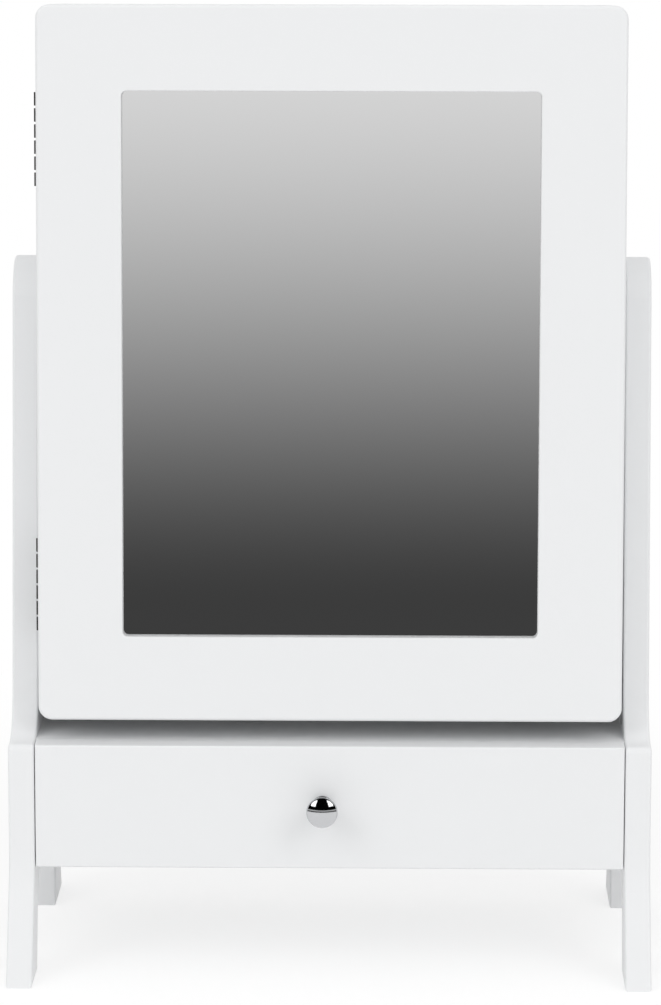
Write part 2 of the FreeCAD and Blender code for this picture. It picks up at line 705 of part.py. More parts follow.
ROLL_X = f"-{BAY_HALF} + ring_roll_play"
ROLL_PITCH = "((shelf_depth - shelf_lip_thickness) / ring_roll_count)"
ROLL_RADIUS = f"(({ROLL_PITCH} - ring_roll_gap) / 2)"
ROLL_Z = f"shelf_lower + shelf_thickness + {ROLL_RADIUS}"
rolls = [rod("x", (ROLL_X, f"{BAY_REAR} - ({n} + 0.5) * {ROLL_PITCH}", ROLL_Z),
             f"2 * {BAY_HALF} - 2 * ring_roll_play", ROLL_RADIUS)
         for n in range(int(size("ring_roll_count")))]
keep(fuse(*rolls), "ring_rolls", "cabinet")

CATCH_LOW = "(door_height / 2 - catch_height / 2)"
MAGNET_LOW = "(door_height / 2 - magnet_height / 2)"
MAGNET_X = f"({BAY_HALF} - catch_width / 2 - magnet_width / 2)"
CATCH_FRONT = "(door_thickness + strike_thickness + catch_gap)"
magnet_corners = ((MAGNET_X, CATCH_FRONT, MAGNET_LOW),
                  (f"{MAGNET_X} + magnet_width", f"{CATCH_FRONT} + magnet_depth",
                   f"{MAGNET_LOW} + magnet_height"))
catch = block((f"{BAY_HALF} - catch_width", CATCH_FRONT, CATCH_LOW),
              (BAY_HALF, f"{CATCH_FRONT} + catch_depth", f"{CATCH_LOW} + catch_height"))
keep(cut(catch, block(*magnet_corners)), "catch_body", "cabinet")
board("catch_magnet", "cabinet", *magnet_corners)

bumpers = [rod("y", (f"{BAY_HALF} + box_wall / 2", f"{BOX_FRONT} - bumper_height", z),
               "bumper_height", "bumper_radius")
           for z in ("bumper_inset", "door_height - bumper_inset")]
keep(fuse(*bumpers), "door_bumpers", "cabinet")


# ---- hinges ---------------------------------------------------------------------------

SCREW_LINE = f"-{BOX_HALF} + {HINGE_SCREW_X}"
BARREL = f"-{HINGE_LINE}"
BOX_LEAF = (f"{BOX_FRONT} - leaf_thickness", BOX_FRONT)
DOOR_LEAF = ("door_thickness", "door_thickness + leaf_thickness")


def screw_head(fixed, z):
    """The head of a hinge screw, flush with its leaf."""
    length, wide, narrow = "hinge_screw_sink + leaf_thickness", "hinge_screw_head_radius", \
        "hinge_screw_radius"
    if fixed:
        return cone("y", (SCREW_LINE, BOX_LEAF[0], z), length, wide, narrow)
    return cone("y", (SCREW_LINE, "door_thickness - hinge_screw_sink", z), length, narrow, wide)


def hinge_leaf(label, hinge, fixed):
    """One leaf of a hinge: a plate with every other knuckle, bored for the pin and screws."""
    near_face, far_face = BOX_LEAF if fixed else DOOR_LEAF
    bore = "hinge_pin_radius" if fixed else "hinge_pin_radius + hinge_pin_clearance"
    clear = f"{BARREL} + {NOTCH_RADIUS}"
    shapes = [block((clear, near_face, hinge),
                    (f"{BARREL} + leaf_width", far_face, f"{hinge} + hinge_length"))]
    for number in range(0 if fixed else 1, int(size("knuckle_count")), 2):
        low = f"({hinge} + {number} * {KNUCKLE_PITCH} + knuckle_gap / 2)"
        high = f"({low} + {KNUCKLE_PITCH} - knuckle_gap)"
        shapes.append(block((BARREL, near_face, low), (clear, far_face, high)))
        shapes.append(rod("z", (BARREL, HINGE_DEPTH, low), f"{KNUCKLE_PITCH} - knuckle_gap",
                          "knuckle_radius"))
    tools = [screw_head(fixed, z) for z in screw_rows(hinge)]
    tools.append(rod("z", (BARREL, HINGE_DEPTH, hinge), "hinge_length", bore))
    return keep(cut(fuse(*shapes), *tools), label, "cabinet")


for name, hinge in zip(("lower", "upper"), HINGE_ROWS):
    hinge_leaf("hinge_leaf_box_" + name, hinge, True)
    hinge_leaf("hinge_leaf_door_" + name, hinge, False)
keep(fuse(*[rod("z", (BARREL, HINGE_DEPTH, hinge), "hinge_length", "hinge_pin_radius")
            for hinge in HINGE_ROWS]), "hinge_pins", "cabinet")

for label, fixed in (("hinge_screws_box", True), ("hinge_screws_door", False)):
    start = BOX_LEAF[0] if fixed else "door_thickness + leaf_thickness - hinge_screw_length"
    parts = []
    for z in [z for hinge in HINGE_ROWS for z in screw_rows(hinge)]:
        parts.append(screw_head(fixed, z))
        parts.append(rod("y", (SCREW_LINE, start, z), "hinge_screw_length", "hinge_screw_radius"))
    keep(fuse(*parts), label, "cabinet")


# ---- door -----------------------------------------------------------------------------

MIRROR_TOP = "(door_height - mirror_border)"
REBATE_HALF = f"({OPENING_HALF} + mirror_rebate)"
MIRROR_BACK = "(mirror_recess + mirror_thickness)"
BACKING_BACK = f"({MIRROR_BACK} + mirror_backing_thickness)"

door = new_body("door_frame", "cabinet")
sketch = new_sketch(door, "XZ_Plane")
rectangle(sketch, f"-{BOX_HALF}", 0, BOX_HALF, "door_height")
pad(door, sketch, "door_thickness", True)
soften(door, "box_corner_radius", lambda middle, along: near(abs(along.y), 1))
soften(door, "door_edge_radius", lambda middle, along: near(middle.y, 0))

opening = new_sketch(door, "XZ_Plane")
rectangle(opening, f"-{OPENING_HALF}", "mirror_border", OPENING_HALF, MIRROR_TOP)
pocket(door, opening, "door_thickness")
sight_half = evaluate(OPENING_HALF)
soften(door, "mirror_corner_radius",
       lambda middle, along: near(abs(along.y), 1) and near(abs(middle.x), sight_half))
sight_low = size("mirror_border")
sight_high = evaluate(MIRROR_TOP)
soften(door, "opening_edge_radius",
       lambda middle, along: near(middle.y, 0) and abs(middle.x) < sight_half + 0.01
       and sight_low - 0.01 < middle.z < sight_high + 0.01)
rebate = new_sketch(door, "XZ_Plane", "-door_thickness")
rectangle(rebate, f"-{REBATE_HALF}", "mirror_border - mirror_rebate",
          REBATE_HALF, f"{MIRROR_TOP} + mirror_rebate")
pocket(door, rebate, "door_thickness - mirror_recess", True)
notch(door, BARREL, HINGE_DEPTH)
door_screws = [(SCREW_LINE, z) for hinge in HINGE_ROWS for z in screw_rows(hinge)]
drill(door, "y", "door_thickness", door_screws, "hinge_screw_head_radius", "hinge_screw_sink",
      True)
drill(door, "y", "door_thickness", door_screws, "hinge_screw_radius",
      "hinge_screw_length - leaf_thickness", True)


def sheet_of(label, front_level, back_level):
    """A sheet that lies in the door's rebate with a little play."""
    half = f"({REBATE_HALF} - mirror_play)"
    board(label, "cabinet",
          (f"-{half}", front_level, "mirror_border - mirror_rebate + mirror_play"),
          (half, back_level, f"{MIRROR_TOP} + mirror_rebate - mirror_play"))


sheet_of("mirror_glass", "mirror_recess", MIRROR_BACK)
sheet_of("mirror_backing", MIRROR_BACK, BACKING_BACK)

ring = block((f"-{REBATE_HALF}", BACKING_BACK, "mirror_border - mirror_rebate"),
             (REBATE_HALF, "door_thickness", f"{MIRROR_TOP} + mirror_rebate"))
middle_hole = block((f"-{OPENING_HALF}", BACKING_BACK, "mirror_border"),
                    (OPENING_HALF, "door_thickness", MIRROR_TOP))
keep(cut(ring, middle_hole), "mirror_beads", "cabinet")
LINING_BACK = f"({BACKING_BACK} + lining_thickness)"
board("door_lining", "cabinet", (f"-{OPENING_HALF}", BACKING_BACK, "mirror_border"),
      (OPENING_HALF, LINING_BACK, MIRROR_TOP))

bars = []
for number in range(int(size("earring_bar_count"))):
    level = (f"(mirror_border + ({MIRROR_TOP} - mirror_border)"
             f" * ({number} + 1) / (earring_bar_count + 1))")
    bars.append(block((f"-{OPENING_HALF} + earring_bar_inset", LINING_BACK, level),
                      (f"{OPENING_HALF} - earring_bar_inset", f"{LINING_BACK} + earring_bar_depth",
                       f"{level} + earring_bar_thickness")))
keep(fuse(*bars), "earring_bars", "cabinet")
board("strike_plate", "cabinet", (f"{BAY_HALF} - catch_width", "door_thickness", CATCH_LOW),
      (BAY_HALF, "door_thickness + strike_thickness", f"{CATCH_LOW} + catch_height"))


# ---- check and export -----------------------------------------------------------------

doc.recompute()
for thing in doc.Objects:
    if "Invalid" in thing.State or "Error" in thing.State:
        raise ValueError(f"{thing.Name} ({thing.Label}) failed")
os.makedirs("parts", exist_ok=True)
for piece in PIECES:
    if piece.Shape.isNull() or not piece.Shape.isValid() or piece.Shape.Volume <= 0:
        raise ValueError(f"{piece.Label} has no valid solid")
    piece.Shape.exportStep(f"parts/{piece.Label}.step")
print(f"{len(PIECES)} pieces written")
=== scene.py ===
import math

import bpy
import numpy as np
from mathutils import Matrix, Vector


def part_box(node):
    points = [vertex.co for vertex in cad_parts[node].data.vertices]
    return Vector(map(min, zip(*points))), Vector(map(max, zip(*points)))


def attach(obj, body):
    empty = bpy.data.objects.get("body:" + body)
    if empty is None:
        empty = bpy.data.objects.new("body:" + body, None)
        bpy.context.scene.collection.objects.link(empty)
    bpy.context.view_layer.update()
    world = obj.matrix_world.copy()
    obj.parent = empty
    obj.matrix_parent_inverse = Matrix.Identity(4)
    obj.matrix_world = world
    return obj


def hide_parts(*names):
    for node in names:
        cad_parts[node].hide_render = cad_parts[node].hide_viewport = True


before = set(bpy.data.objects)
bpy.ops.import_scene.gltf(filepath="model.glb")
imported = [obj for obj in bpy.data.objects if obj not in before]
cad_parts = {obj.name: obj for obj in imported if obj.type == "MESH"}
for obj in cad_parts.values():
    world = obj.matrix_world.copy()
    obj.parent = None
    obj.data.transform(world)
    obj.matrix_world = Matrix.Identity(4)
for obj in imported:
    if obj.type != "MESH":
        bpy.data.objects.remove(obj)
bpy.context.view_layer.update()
print("frame loaded:", len(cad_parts), "nodes")


# --- where things are, in metres ---

cabinet = {
    "lean": math.radians(3.1),   # the box leans back by this much at rest
    "doorFront": -0.0775,        # y of the door's lower front edge
    "doorFoot": 0.1487,          # z of the same edge
}


def toWorld(points):
    # points are across, behind the door's face and up the door; the frame leans back about X
    across, back, up = points[:, 0], points[:, 1], points[:, 2]
    cosine, sine = math.cos(cabinet["lean"]), math.sin(cabinet["lean"])
    return np.stack([across,
                     cabinet["doorFront"] + back * cosine + up * sine,
                     cabinet["doorFoot"] - back * sine + up * cosine], axis=1)


# --- node trees ---

def addNode(tree, kind, **values):
    # keys that name a property set it, the rest are written to the input of that name
    node = tree.nodes.new(kind)
    for key, value in values.items():
        if hasattr(node, key):
            setattr(node, key, value)
        else:
            node.inputs[key.replace("_", " ")].default_value = value
    return node


def newGroup(name, inputs, outputs):
    tree = bpy.data.node_groups.new(name, "ShaderNodeTree")
    for label, kind, default in inputs:
        socket = tree.interface.new_socket(name=label, in_out="INPUT", socket_type=kind)
        if default is not None:
            socket.default_value = default
    for label, kind in outputs:
        tree.interface.new_socket(name=label, in_out="OUTPUT", socket_type=kind)
    return tree, tree.nodes.new("NodeGroupInput"), tree.nodes.new("NodeGroupOutput")


def newMaterial(name, roughness=0.5, metallic=0.0, **sockets):
    material = bpy.data.materials.new(name)
    material.use_nodes = True
    tree = material.node_tree
    shader = tree.nodes["Principled BSDF"]
    shader.inputs["Roughness"].default_value = roughness
    shader.inputs["Metallic"].default_value = metallic
    for key, value in sockets.items():
        shader.inputs[key.replace("_", " ")].default_value = value
    return material, tree, shader


def useGroup(tree, group, vector, **values):
    node = tree.nodes.new("ShaderNodeGroup")
    node.node_tree = group
    tree.links.new(vector, node.inputs["Vector"])
    for key, value in values.items():
        node.inputs[key].default_value = value
    return node


def objectCoordinates(tree, turn=(0, 0, 0), stretch=(1, 1, 1)):
    place = addNode(tree, "ShaderNodeTexCoord")
    mapping = addNode(tree, "ShaderNodeMapping", Rotation=turn, Scale=stretch)
    tree.links.new(place.outputs["Object"], mapping.inputs["Vector"])
    return mapping.outputs["Vector"]


def addBump(tree, shader, height, distance, strength=1.0):
    bump = addNode(tree, "ShaderNodeBump", Distance=distance, Strength=strength)
    tree.links.new(height, bump.inputs["Height"])
    tree.links.new(bump.outputs["Normal"], shader.inputs["Normal"])


def finishGroup():
    # a slow mottle turns the colour and roughness a little, a fine one is the surface's own texture
    tree, given, out = newGroup("surfaceFinish", [
        ("Vector", "NodeSocketVector", None),
        ("Colour", "NodeSocketColor", (0.8, 0.8, 0.8, 1)),
        ("Mottle", "NodeSocketColor", (0.7, 0.7, 0.7, 1)),
        ("MottleScale", "NodeSocketFloat", 20.0),
        ("MottleAmount", "NodeSocketFloat", 0.2),
        ("Roughness", "NodeSocketFloat", 0.4),
        ("RoughnessSpread", "NodeSocketFloat", 0.1),
        ("FineScale", "NodeSocketFloat", 900.0),
    ], [("Colour", "NodeSocketColor"), ("Roughness", "NodeSocketFloat"),
        ("Height", "NodeSocketFloat")])
    slow = addNode(tree, "ShaderNodeTexNoise", Detail=4.0)
    fine = addNode(tree, "ShaderNodeTexNoise", Detail=3.0)
    amount = addNode(tree, "ShaderNodeMath", operation="MULTIPLY")
    blend = addNode(tree, "ShaderNodeMix", data_type="RGBA")
    centred = addNode(tree, "ShaderNodeMath", operation="SUBTRACT")
    centred.inputs[1].default_value = 0.5
    rough = addNode(tree, "ShaderNodeMath", operation="MULTIPLY_ADD")
    link = tree.links.new
    link(given.outputs["Vector"], slow.inputs["Vector"])
    link(given.outputs["Vector"], fine.inputs["Vector"])
    link(given.outputs["MottleScale"], slow.inputs["Scale"])
    link(given.outputs["FineScale"], fine.inputs["Scale"])
    link(slow.outputs["Fac"], amount.inputs[0])
    link(given.outputs["MottleAmount"], amount.inputs[1])
    link(amount.outputs["Value"], blend.inputs["Factor"])
    link(given.outputs["Colour"], blend.inputs["A"])
    link(given.outputs["Mottle"], blend.inputs["B"])
    link(slow.outputs["Fac"], centred.inputs[0])
    link(centred.outputs["Value"], rough.inputs[0])
    link(given.outputs["RoughnessSpread"], rough.inputs[1])
    link(given.outputs["Roughness"], rough.inputs[2])
    link(blend.outputs["Result"], out.inputs["Colour"])
    link(rough.outputs["Value"], out.inputs["Roughness"])
    link(fine.outputs["Fac"], out.inputs["Height"])
    return tree


def grainGroup():
    # long streaks from noise squeezed across the grain, with pores as a fine bump along it
    tree, given, out = newGroup("woodGrain", [
        ("Vector", "NodeSocketVector", None),
        ("Light", "NodeSocketColor", (0.7, 0.5, 0.3, 1)),
        ("Dark", "NodeSocketColor", (0.5, 0.35, 0.2, 1)),
        ("StreakScale", "NodeSocketFloat", 9.0),
        ("PoreScale", "NodeSocketFloat", 120.0),
        ("Contrast", "NodeSocketFloat", 0.8),
    ], [("Colour", "NodeSocketColor"), ("Height", "NodeSocketFloat")])
    streaks = addNode(tree, "ShaderNodeTexNoise", Detail=6.0, Distortion=0.6)
    pores = addNode(tree, "ShaderNodeTexNoise", Detail=2.0)
    sharpen = addNode(tree, "ShaderNodeMath", operation="MULTIPLY", use_clamp=True)
    blend = addNode(tree, "ShaderNodeMix", data_type="RGBA")
    deepen = addNode(tree, "ShaderNodeMath", operation="POWER")
    deepen.inputs[1].default_value = 3.0
    link = tree.links.new
    link(given.outputs["Vector"], streaks.inputs["Vector"])
    link(given.outputs["Vector"], pores.inputs["Vector"])
    link(given.outputs["StreakScale"], streaks.inputs["Scale"])
    link(given.outputs["PoreScale"], pores.inputs["Scale"])
    link(streaks.outputs["Fac"], sharpen.inputs[0])
    link(given.outputs["Contrast"], sharpen.inputs[1])
    link(sharpen.outputs["Value"], blend.inputs["Factor"])
    link(given.outputs["Light"], blend.inputs["A"])
    link(given.outputs["Dark"], blend.inputs["B"])
    link(pores.outputs["Fac"], deepen.inputs[0])
    link(blend.outputs["Result"], out.inputs["Colour"])
    link(deepen.outputs["Value"], out.inputs["Height"])
    return tree


def pileGroup():
    # short velvet pile: lighter patches of painted sheen, standing in for light caught by brushed
    # pile, over a fine fibre noise
    tree, given, out = newGroup("velvetPile", [
        ("Vector", "NodeSocketVector", None),
        ("Deep", "NodeSocketColor", (0.01, 0.01, 0.01, 1)),
        ("PaintedSheen", "NodeSocketColor", (0.05, 0.05, 0.05, 1)),
        ("PatchScale", "NodeSocketFloat", 28.0),
        ("FibreScale", "NodeSocketFloat", 2600.0),
    ], [("Colour", "NodeSocketColor"), ("Height", "NodeSocketFloat")])
    patches = addNode(tree, "ShaderNodeTexNoise", Detail=5.0, Distortion=1.2)
    fibres = addNode(tree, "ShaderNodeTexNoise", Detail=2.0)
    mixed = addNode(tree, "ShaderNodeMath", operation="MULTIPLY", use_clamp=True)
    blend = addNode(tree, "ShaderNodeMix", data_type="RGBA")
    link = tree.links.new
    link(given.outputs["Vector"], patches.inputs["Vector"])
    link(given.outputs["Vector"], fibres.inputs["Vector"])
    link(given.outputs["PatchScale"], patches.inputs["Scale"])
    link(given.outputs["FibreScale"], fibres.inputs["Scale"])
    link(patches.outputs["Fac"], mixed.inputs[0])
    link(fibres.outputs["Fac"], mixed.inputs[1])
    link(mixed.outputs["Value"], blend.inputs["Factor"])
    link(given.outputs["Deep"], blend.inputs["A"])
    link(given.outputs["PaintedSheen"], blend.inputs["B"])
    link(blend.outputs["Result"], out.inputs["Colour"])
    link(fibres.outputs["Fac"], out.inputs["Height"])
    return tree


def finished(name, group, values, bump, turn=(0, 0, 0), stretch=(1, 1, 1), **sockets):
    # one Principled shader fed by one of the groups above
    material, tree, shader = newMaterial(name, **sockets)
    effect = useGroup(tree, group, objectCoordinates(tree, turn, stretch), **values)
    tree.links.new(effect.outputs["Colour"], shader.inputs["Base Color"])
    if "Roughness" in values:
        tree.links.new(effect.outputs["Roughness"], shader.inputs["Roughness"])
    if bump:
        addBump(tree, shader, effect.outputs["Height"], bump)
    return material


def rgb(red, green, blue):
    # an sRGB colour of 0 to 255, as linear values
    levels = np.array([red, green, blue]) / 255
    linear = np.where(levels <= 0.04045, levels / 12.92, ((levels + 0.055) / 1.055) ** 2.4)
    return (*linear.tolist(), 1.0)


surfaceFinish = finishGroup()
woodGrain = grainGroup()
velvetPile = pileGroup()

satinWhite = finished("satinWhite", surfaceFinish, {
    "Colour": rgb(241, 242, 243),
    "Mottle": rgb(238, 239, 240),
    "MottleScale": 14.0,
    "MottleAmount": 0.5,
    "Roughness": 0.42,
    "RoughnessSpread": 0.08,
    "FineScale": 700.0,
}, 0.00003)

bareWood = finished("bareWood", woodGrain, {
    "Light": rgb(214, 184, 143),
    "Dark": rgb(176, 138, 96),
    "StreakScale": 60.0,
    "PoreScale": 320.0,
}, 0.00008, stretch=(0.08, 0.6, 1), roughness=0.55)

hardboard = finished("hardboard", surfaceFinish, {
    "Colour": rgb(150, 122, 92),
    "Mottle": rgb(112, 88, 64),
    "MottleScale": 420.0,
    "MottleAmount": 0.9,
    "Roughness": 0.7,
    "FineScale": 1500.0,
}, 0.0001)

zincSteel = finished("zincSteel", surfaceFinish, {
    "Colour": rgb(198, 199, 202),
    "Mottle": rgb(150, 152, 158),
    "MottleScale": 300.0,
    "MottleAmount": 0.5,
    "Roughness": 0.3,
    "RoughnessSpread": 0.2,
    "FineScale": 2000.0,
}, 0.00002, metallic=1.0)

polishedChrome = finished("polishedChrome", surfaceFinish, {
    "Colour": rgb(201, 202, 204),
    "Mottle": rgb(192, 193, 196),
    "MottleScale": 90.0,
    "MottleAmount": 0.3,
    "Roughness": 0.05,
    "RoughnessSpread": 0.05,
    "FineScale": 600.0,
}, 0.000004, metallic=1.0)

darkSteel = finished("darkSteel", surfaceFinish, {
    "Colour": rgb(26, 25, 24),
    "Mottle": rgb(44, 40, 37),
    "MottleScale": 500.0,
    "MottleAmount": 0.5,
    "Roughness": 0.46,
    "RoughnessSpread": 0.12,
    "FineScale": 2400.0,
}, 0.00003, metallic=0.35)

satinBrass = finished("satinBrass", surfaceFinish, {
    "Colour": rgb(204, 172, 104),
    "Mottle": rgb(158, 126, 68),
    "MottleScale": 260.0,
    "MottleAmount": 0.5,
    "Roughness": 0.28,
    "RoughnessSpread": 0.15,
    "FineScale": 1800.0,
}, 0.00002, metallic=1.0)

capPlastic = finished("capPlastic", surfaceFinish, {
    "Colour": rgb(236, 237, 239),
    "Mottle": rgb(226, 227, 230),
    "MottleScale": 60.0,
    "MottleAmount": 0.5,
    "Roughness": 0.45,
    "RoughnessSpread": 0.08,
    "FineScale": 3000.0,
}, 0.00004)

clearNylon = finished("clearNylon", surfaceFinish, {
    "Colour": rgb(214, 214, 208),
    "Mottle": rgb(196, 196, 190),
    "MottleScale": 120.0,
    "MottleAmount": 0.6,
    "Roughness": 0.4,
    "FineScale": 1500.0,
}, 0.00003, Subsurface_Weight=0.3)

softRubber = finished("softRubber", surfaceFinish, {
    "Colour": rgb(206, 208, 210),
    "Mottle": rgb(188, 190, 193),
    "MottleScale": 200.0,
    "MottleAmount": 0.5,
    "Roughness": 0.3,
    "FineScale": 1200.0,
}, 0.00003)

blackVelvet = finished("blackVelvet", velvetPile, {
    "Deep": rgb(16, 15, 18),
    # the second colour is painted sheen: lighter patches where light would catch the brushed pile
    "PaintedSheen": rgb(64, 62, 68),
}, 0.0004, roughness=0.95, Sheen_Weight=0.6, Sheen_Roughness=0.4)

silverMirror = finished("silverMirror", surfaceFinish, {
    "Colour": rgb(243, 243, 243),
    "Mottle": rgb(240, 240, 241),
    "MottleScale": 3.0,
    "MottleAmount": 0.4,
}, 0, roughness=0.0, metallic=1.0)


# --- materials on the parts that come from the frame ---

materialOf = {
    satinWhite: ["side_panel_left", "side_panel_right", "base_top", "base_bottom", "base_back",
                 "drawer_front", "cabinet_side_left", "cabinet_side_right", "cabinet_bottom",
                 "cabinet_top", "cabinet_back", "hook_rail", "shelf_lower", "shelf_upper",
                 "shelf_lip_lower", "shelf_lip_upper", "door_frame", "mirror_beads",
                 "earring_bars"],
    bareWood: ["drawer_box_front", "drawer_side_left", "drawer_side_right", "drawer_back",
               "drawer_bottom", "cabinet_dowels"],
    hardboard: ["mirror_backing"],
    zincSteel: ["base_screws", "pivot_inserts", "pivot_bolts", "hinge_screws_box",
                "hinge_screws_door", "drawer_screws", "knob_screw", "catch_magnet",
                "strike_plate"],
    polishedChrome: ["knob"],
    darkSteel: ["hinge_leaf_box_lower", "hinge_leaf_box_upper", "hinge_leaf_door_lower",
                "hinge_leaf_door_upper", "hinge_pins"],
    satinBrass: ["necklace_hooks"],
    capPlastic: ["screw_caps", "catch_body"],
    clearNylon: ["pivot_washers"],
    softRubber: ["door_bumpers"],
    blackVelvet: ["back_lining", "door_lining", "drawer_lining", "ring_rolls"],
    silverMirror: ["mirror_glass"],
}
for material, names in materialOf.items():
    for name in names:
        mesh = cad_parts[name].data
        mesh.materials.clear()
        mesh.materials.append(material)
missing = set(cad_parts) - {name for names in materialOf.values() for name in names}
print("materials set, nodes without one:", sorted(missing))


# --- meshes from grids ---

def newPiece(name, points, faces, material):
    mesh = bpy.data.meshes.new(name)
    mesh.from_pydata(points.tolist(), [], faces)
    mesh.materials.append(material)
    mesh.polygons.foreach_set("use_smooth", np.full(len(mesh.polygons), True))
    piece = bpy.data.objects.new(name, mesh)
    bpy.context.scene.collection.objects.link(piece)
    return piece


def closedRings(rings, around):
    # faces between rings of points, each ring closed on itself, with a fan point at both ends
    ring, step = np.meshgrid(np.arange(rings - 1), np.arange(around), indexing="ij")
    following = (step + 1) % around
    quads = np.stack([ring * around + step, ring * around + following,
                      (ring + 1) * around + following, (ring + 1) * around + step], axis=-1)
    first, last = rings * around, rings * around + 1
    spoke = np.arange(around)
    capStart = np.stack([np.full(around, first), (spoke + 1) % around, spoke], axis=1)
    base = (rings - 1) * around
    capEnd = np.stack([np.full(around, last), base + spoke, base + (spoke + 1) % around], axis=1)
    return quads.reshape(-1, 4), capStart, capEnd


def lathe(name, profile, centre, around, material):
    # the profile's pairs are distance along the axis and radius; the axis runs towards -Y
    along, radius = profile[:, 0], profile[:, 1]
    angle = np.linspace(0, 2 * np.pi, around, endpoint=False)
    x = centre[0] + radius[:, None] * np.cos(angle)
    z = centre[2] + radius[:, None] * np.sin(angle)
    y = centre[1] - np.repeat(along[:, None], around, axis=1)
    points = np.stack([x, y, z], axis=-1).reshape(-1, 3)
    ends = np.array([[centre[0], centre[1] - along[0], centre[2]],
                     [centre[0], centre[1] - along[-1], centre[2]]])
    quads, capStart, capEnd = closedRings(len(profile), around)
    faces = quads.tolist() + capStart.tolist() + capEnd.tolist()
    return newPiece(name, np.concatenate([points, ends]), faces, material)


def arcPoints(centre, radius, start, stop, count):
    # points of a circle arc, angles in degrees, as along and radius pairs
    angle = np.radians(np.linspace(start, stop, count))
    return np.stack([centre[0] + radius * np.cos(angle),
                     centre[1] + radius * np.sin(angle)], axis=1)


# --- knob ---

knob = {
    "headRadius": 0.009,
    "rimRadius": 0.0009,
    "domeHeight": 0.0031,
    "headBack": 0.017,
    "length": 0.022,
    "neckRadius": 0.0036,
    "flangeRadius": 0.0056,
    "flangeHeight": 0.002,
    "flangeRim": 0.0006,
    "neckFillet": 0.004,     # from the flange into the neck
    "flareFillet": 0.0035,   # from the neck into the head
    "seat": -0.0875,         # y of the drawer front's face
    "around": 96,
}


def knobProfile():
    # flange, hollow neck, then a head whose face is part of a sphere, with a rounded rim
    head, rim = knob["headRadius"], knob["rimRadius"]
    domeRadius = (head ** 2 + knob["domeHeight"] ** 2) / (2 * knob["domeHeight"])
    lip, low, high = knob["flangeRim"], knob["neckFillet"], knob["flareFillet"]
    flange = arcPoints((knob["flangeHeight"] - lip, knob["flangeRadius"] - lip), lip, 90, 0, 6)
    neck = arcPoints((knob["flangeHeight"] + low, knob["neckRadius"] + low), low, 200, 270, 8)
    flare = arcPoints((knob["headBack"] - high, knob["neckRadius"] + high), high, 270, 340, 8)
    edge = arcPoints((knob["headBack"] + rim, head - rim), rim, 180, 50, 12)
    reach = np.linspace(edge[-1, 1], 0, 30)[:, None]
    face = np.concatenate([
        knob["length"] - domeRadius + np.sqrt(domeRadius ** 2 - reach ** 2), reach], axis=1)
    face[:, 0] = np.maximum(face[:, 0], edge[-1, 0])
    start = np.array([[0, knob["flangeRadius"]]])
    return np.concatenate([start, flange, neck, flare, edge, face[1:-1]])


lowCorner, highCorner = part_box("knob")
knobCentre = ((lowCorner.x + highCorner.x) / 2, knob["seat"],
              (lowCorner.z + highCorner.z) / 2)
drawerKnob = lathe("drawerKnob", knobProfile(), knobCentre, knob["around"], polishedChrome)
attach(drawerKnob, "drawer")
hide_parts("knob")
print("knob made")


# --- velvet linings ---

lining = {
    "cornerRadius": 0.0025,
    "crownReach": 0.014,     # the velvet rises over this width from its edges
    "edgeHeight": 0.55,      # height of the wrapped edge, as a share of the thickness
    "leastCorner": 0.0004,   # the corners' radius where an outline is drawn in furthest
    "around": 40,            # points along each corner-to-corner side
    "thickness": 0.0015,
    "boxBack": 0.1062,       # how far behind the door's face the box's back is
    "doorBack": 0.011,       # and the back of the door
    "drawerFloor": 0.0783,   # z of the drawer's floor
}


def liningShell(thickness):
    # how far each outline is drawn in, and its height: a quarter circle up the wrapped edge,
    # then a slow crown, the first quarter of a sine, towards the middle
    edge = lining["edgeHeight"] * thickness
    turn = np.radians(np.linspace(0, 90, 6))
    reach = np.linspace(0.12, 1, 9)
    inset = np.concatenate([edge * (1 - np.cos(turn)), edge + lining["crownReach"] * reach])
    height = np.concatenate([edge * np.sin(turn),
                             edge + (thickness - edge) * np.sin(reach * np.pi / 2)])
    return inset, height


def roundedOutline(halves, corners, count):
    # a square walked anticlockwise; what sticks out of the rectangle left when the corner
    # radius is taken off all round is pulled on to a circle of that radius
    side = np.linspace(-1, 1, count, endpoint=False)
    one = np.ones(count)
    square = np.concatenate([np.stack([side, -one], 1), np.stack([one, side], 1),
                             np.stack([-side, one], 1), np.stack([-one, -side], 1)])
    flat = square * halves[:, None]
    core = halves[:, None] - corners[:, None, None]
    inner = np.clip(flat, -core, core)
    out = flat - inner
    reach = np.abs(out).max(axis=2, keepdims=True)
    length = np.linalg.norm(out, axis=2, keepdims=True)
    return inner + out * reach / np.maximum(length, 1e-9)


def makeLining(name, across, along, place, body, node):
    # a panel of outlines, one for each inset, drawn flat and then placed in the frame
    thickness = lining["thickness"]
    inset, height = liningShell(thickness)
    middle = np.array([sum(across) / 2, sum(along) / 2])
    halves = np.array([across[1], along[1]]) - middle - inset[:, None]
    corners = np.maximum(lining["cornerRadius"] - inset, lining["leastCorner"])
    outline = roundedOutline(halves, corners, lining["around"]) + middle
    heights = np.broadcast_to(height[:, None, None], (*outline.shape[:2], 1))
    points = np.concatenate([outline, heights], axis=2).reshape(-1, 3)
    ends = np.array([[*middle, 0], [*middle, thickness]])
    quads, capStart, capEnd = closedRings(len(inset), 4 * lining["around"])
    piece = newPiece(name, place(np.concatenate([points, ends])),
                     quads.tolist() + capStart.tolist() + capEnd.tolist(), blackVelvet)
    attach(piece, body)
    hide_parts(node)


def onBoxBack(points):
    # the lining's face looks out of the box, towards the door
    return toWorld(np.stack([points[:, 0], lining["boxBack"] - points[:, 2],
                             points[:, 1]], axis=1))


def onDoorBack(points):
    # faces into the box, so across is turned to keep the faces outwards
    return toWorld(np.stack([-points[:, 0], lining["doorBack"] + points[:, 2],
                             points[:, 1]], axis=1))


def onDrawerFloor(points):
    return points + np.array([0, 0, lining["drawerFloor"]])


